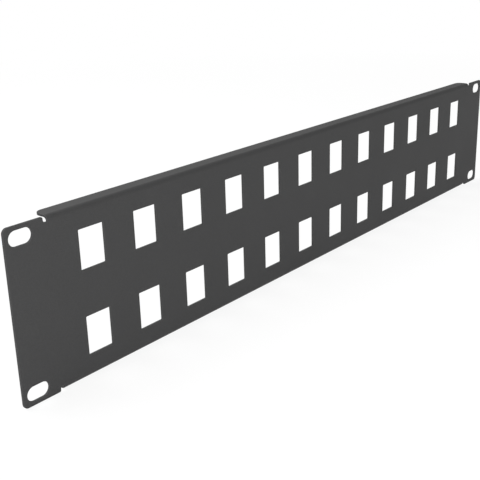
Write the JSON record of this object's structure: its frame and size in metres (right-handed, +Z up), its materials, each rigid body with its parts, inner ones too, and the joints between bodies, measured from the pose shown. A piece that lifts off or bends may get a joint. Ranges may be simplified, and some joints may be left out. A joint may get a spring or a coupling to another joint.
{
  "type": "keystone patch panel",
  "caption": "Rack patch panel of folded black sheet steel, with rows of empty windows for snap-in keystone jacks and slotted ears for rack screws.",
  "frame": {"origin": "centre of the pattern of rack slots, on the rear face of the ears, which meets the rack's rails", "axes": "+X along the panel to the right as seen from the front, +Y from the front to the back, +Z up"},
  "size_m": [0.4826, 0.0103, 0.0882],
  "materials": {
    "black_powder_coat": "satin black powder coat with a fine texture"
  },
  "bodies": {
    "root": {"panel": "black_powder_coat"}
  },
  "joints": []
}
